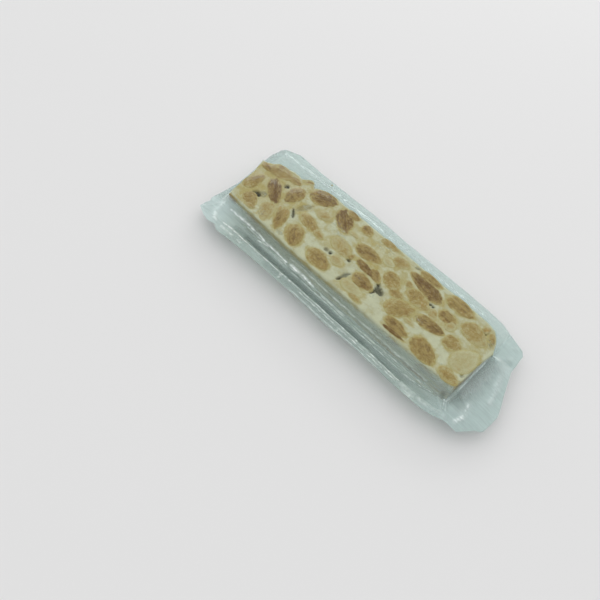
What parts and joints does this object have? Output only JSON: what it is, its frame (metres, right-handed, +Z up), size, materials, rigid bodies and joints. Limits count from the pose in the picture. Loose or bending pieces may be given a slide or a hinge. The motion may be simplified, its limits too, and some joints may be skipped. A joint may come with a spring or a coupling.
{
  "type": "nougat bar",
  "caption": "Straight slab of white nougat packed with whole toasted almonds, lying flat in a clear vacuum pouch with a welded seam all round.",
  "frame": {"origin": "bottom centre of the pouch's bounding box, on the surface that it lies on", "axes": "+X along the bar towards its square-cut near end with the longer film flap, +Y across it towards the edge with the broken corner, +Z up"},
  "size_m": [0.2, 0.0764, 0.0194],
  "materials": {
    "clear_film": "clear glossy plastic film with a faint blue-green cast, folded along the sides",
    "nougat": "matt cream nougat, cut and slightly porous",
    "almond": "toasted almond, pale cut faces and darker brown faces"
  },
  "bodies": {
    "root": {"sealed_bar": "clear_film"}
  },
  "joints": []
}
